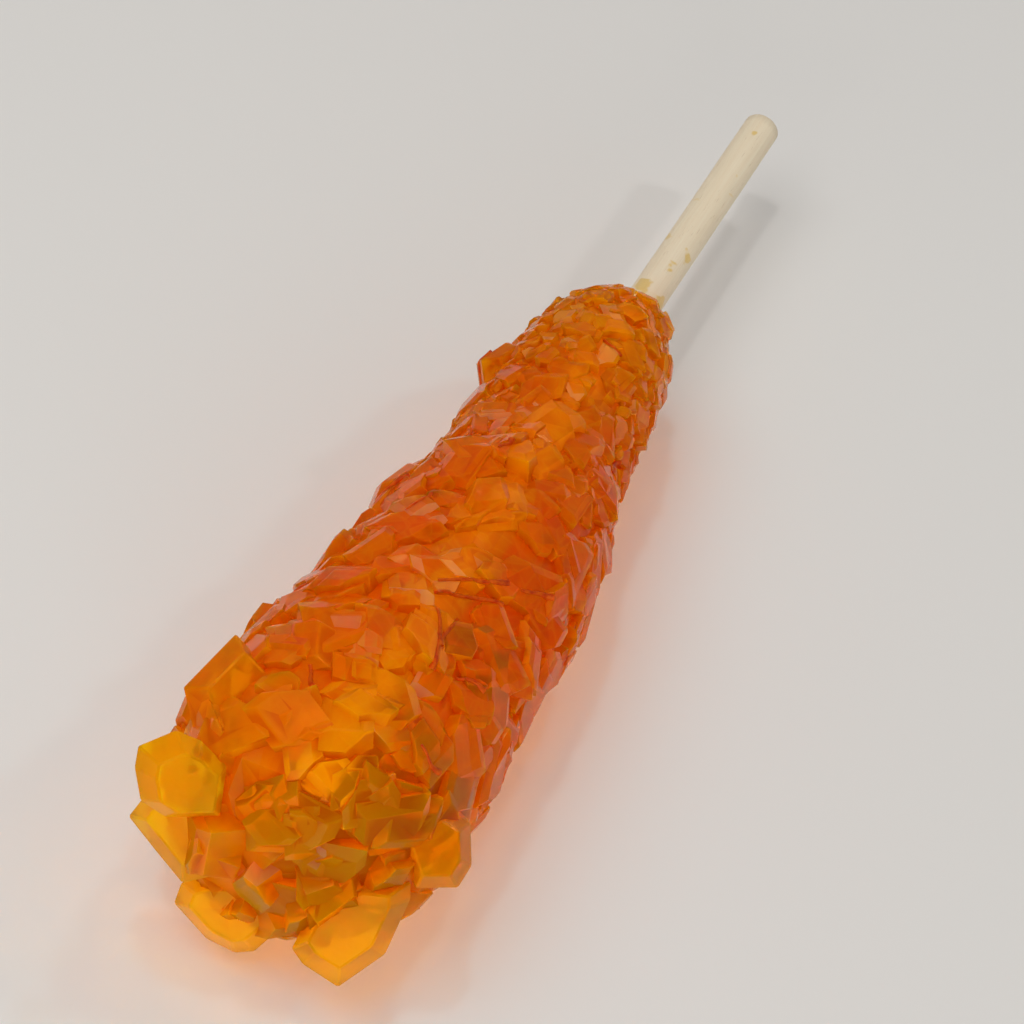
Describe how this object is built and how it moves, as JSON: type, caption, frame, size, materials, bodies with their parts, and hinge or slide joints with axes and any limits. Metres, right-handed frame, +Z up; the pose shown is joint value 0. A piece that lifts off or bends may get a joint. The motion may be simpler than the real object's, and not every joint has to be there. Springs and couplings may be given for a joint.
{
  "type": "rock candy stick",
  "caption": "Amber sugar crystals grown in a tapering mass on a round wooden stick, lying on its side; held by the bare end to eat or to stir into tea.",
  "frame": {"origin": "middle of the footprint, on the surface that the candy lies on", "axes": "+X along the stick towards its bare end, +Z up"},
  "size_m": [0.1268, 0.0302, 0.0282],
  "materials": {
    "candy": "gloss",
    "wood": "matte",
    "saffron": "matte"
  },
  "bodies": {
    "root": {"candy": "candy", "stick": "wood"}
  },
  "joints": []
}
